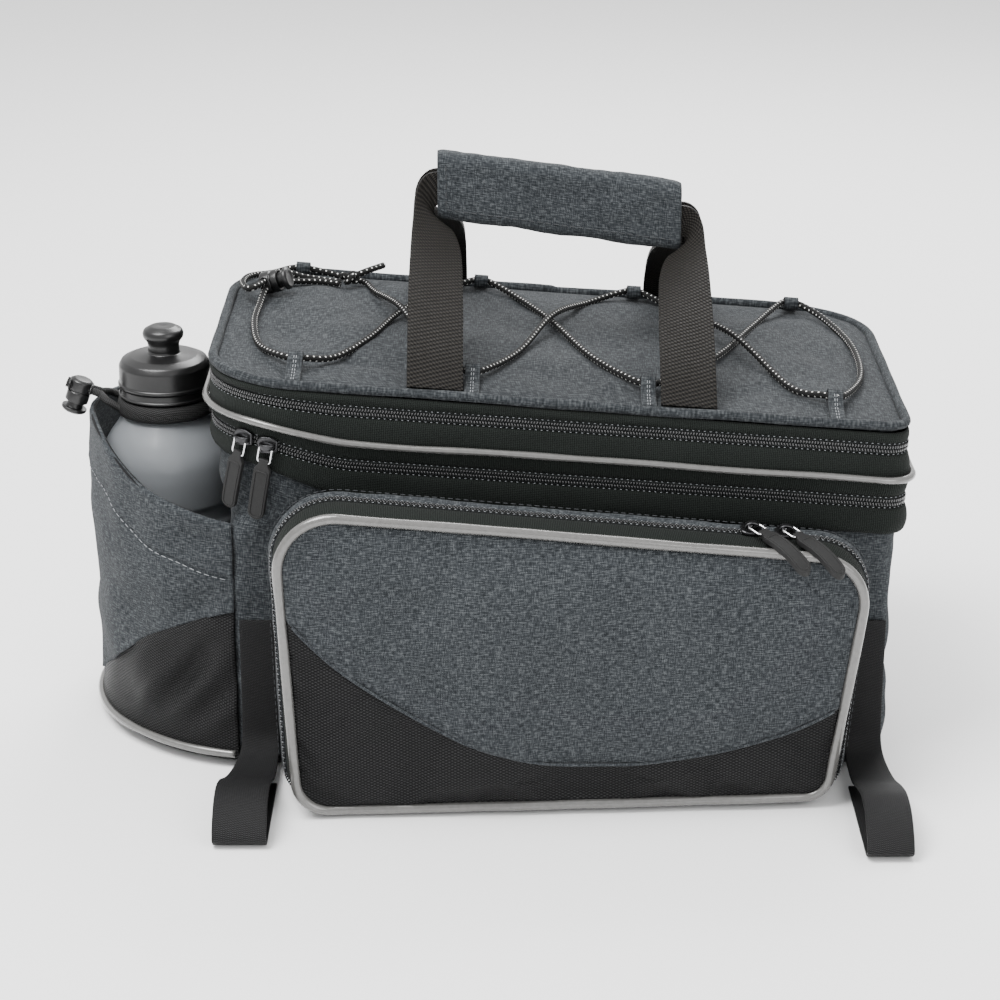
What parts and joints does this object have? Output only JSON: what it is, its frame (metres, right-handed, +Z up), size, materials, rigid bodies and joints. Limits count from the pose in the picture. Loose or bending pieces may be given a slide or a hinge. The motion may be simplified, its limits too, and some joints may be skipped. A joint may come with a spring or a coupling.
{
  "type": "bicycle trunk bag with drinking bottle",
  "caption": "Padded bag for a bicycle's rear rack, with a zipped lid, a front pocket, a bottle pocket with its bottle, cord over the lid and a carrying handle.",
  "frame": {"origin": "middle of the flat base, on the surface that the bag stands on", "axes": "+Z up, +X towards the right end seen from the front, -Y towards the front pocket"},
  "size_m": [0.447, 0.3144, 0.3062],
  "materials": {
    "heather_fabric": "heathered woven cloth over foam, matt",
    "ribbed_band": "fine ribbed woven band, matt",
    "ballistic_fabric": "coarse basket-woven nylon, slight sheen",
    "webbing": "ribbed nylon webbing",
    "silver_piping": "smooth reflective piping",
    "zip_coil": "coil zip",
    "slider_metal": "dark enamelled metal",
    "pull_wire": "bright wire",
    "pull_rubber": "moulded rubber",
    "cord": "braided elastic cord",
    "black_plastic": "moulded plastic",
    "bottle_plastic": "translucent soft plastic"
  },
  "bodies": {
    "bag": {"band_piping": "silver_piping", "base_panel": "ballistic_fabric", "body_shell": "heather_fabric", "bottle_body": "bottle_plastic", "bottle_cap": "black_plastic", "bottle_pocket": "heather_fabric", "bottle_pocket_base": "ballistic_fabric", "bottle_pocket_piping": "silver_piping", "bungee_cord": "cord", "bungee_knot": "cord", "cord_lock_barrel": "black_plastic", "cord_tab_back_1": "heather_fabric", "cord_tab_back_2": "heather_fabric", "cord_tab_back_3": "heather_fabric", "cord_tab_back_4": "heather_fabric", "cord_tab_front_1": "heather_fabric", "cord_tab_front_2": "heather_fabric", "cord_tab_front_3": "heather_fabric", "cord_tab_front_4": "heather_fabric", "handle_grip": "heather_fabric", "handle_strap_back": "webbing", "handle_strap_front": "webbing", "lid_band": "ribbed_band", "lid_edge_piping": "heather_fabric", "lid_hinge_strip": "ribbed_band", "lid_panel": "heather_fabric", "lower_band": "ribbed_band", "lower_zip_chain": "zip_coil", "middle_band": "ribbed_band", "pocket_binding": "ballistic_fabric", "pocket_cord": "cord", "pocket_front_tape": "ribbed_band", "pocket_gusset": "heather_fabric", "pocket_hinge_strip": "ribbed_band", "pocket_lock_barrel": "black_plastic", "pocket_panel_lower": "ballistic_fabric", "pocket_panel_upper": "heather_fabric", "pocket_piping": "silver_piping", "pocket_zip_chain": "zip_coil", "side_strap_left": "webbing", "side_strap_right": "webbing", "upper_zip_chain": "zip_coil", "zip_slider_1": "slider_metal", "zip_slider_2": "slider_metal", "zip_slider_3": "slider_metal", "zip_slider_4": "slider_metal"},
    "pull_1": {"zip_pull_1": "pull_rubber", "zip_pull_wire_1": "pull_wire"},
    "pull_2": {"zip_pull_2": "pull_rubber", "zip_pull_wire_2": "pull_wire"},
    "pull_3": {"zip_pull_3": "pull_rubber", "zip_pull_wire_3": "pull_wire"},
    "pull_4": {"zip_pull_4": "pull_rubber", "zip_pull_wire_4": "pull_wire"},
    "lid_lock_button": {"cord_lock_button": "black_plastic"},
    "holder_lock_button": {"pocket_lock_button": "black_plastic"},
    "nozzle": {"bottle_nozzle": "black_plastic"}
  },
  "joints": [
    {"name": "zip_pull_1_swing", "type": "hinge", "parent": "bag", "child": "pull_1", "pos_m": [-0.16085, -0.09911, 0.18167], "axis": [-0.8068, 0.527, 0.2672], "range_deg": [0, 110]},
    {"name": "zip_pull_2_swing", "type": "hinge", "parent": "bag", "child": "pull_2", "pos_m": [-0.1477, -0.10515, 0.17946], "axis": [-0.9426, 0.2739, 0.1908], "range_deg": [0, 110]},
    {"name": "zip_pull_3_swing", "type": "hinge", "parent": "bag", "child": "pull_3", "pos_m": [0.09394, -0.12984, 0.14727], "axis": [-0.761, -0.6473, -0.0431], "range_deg": [0, 110]},
    {"name": "zip_pull_4_swing", "type": "hinge", "parent": "bag", "child": "pull_4", "pos_m": [0.11094, -0.12936, 0.14557], "axis": [-0.7615, -0.6465, -0.0468], "range_deg": [0, 110]},
    {"name": "cord_lock_press", "type": "slide", "parent": "bag", "child": "lid_lock_button", "axis": [-0.9296, 0.2399, -0.2799], "range_m": [0, 0.003], "stiffness_N_per_m": 200, "springref_m": -0.001},
    {"name": "pocket_lock_press", "type": "slide", "parent": "bag", "child": "holder_lock_button", "axis": [0.3312, 0, 0.9435], "range_m": [0, 0.003], "stiffness_N_per_m": 200, "springref_m": -0.001},
    {"name": "nozzle_pull", "type": "slide", "parent": "bag", "child": "nozzle", "axis": [0, 0, 1], "range_m": [0, 0.006]}
  ]
}
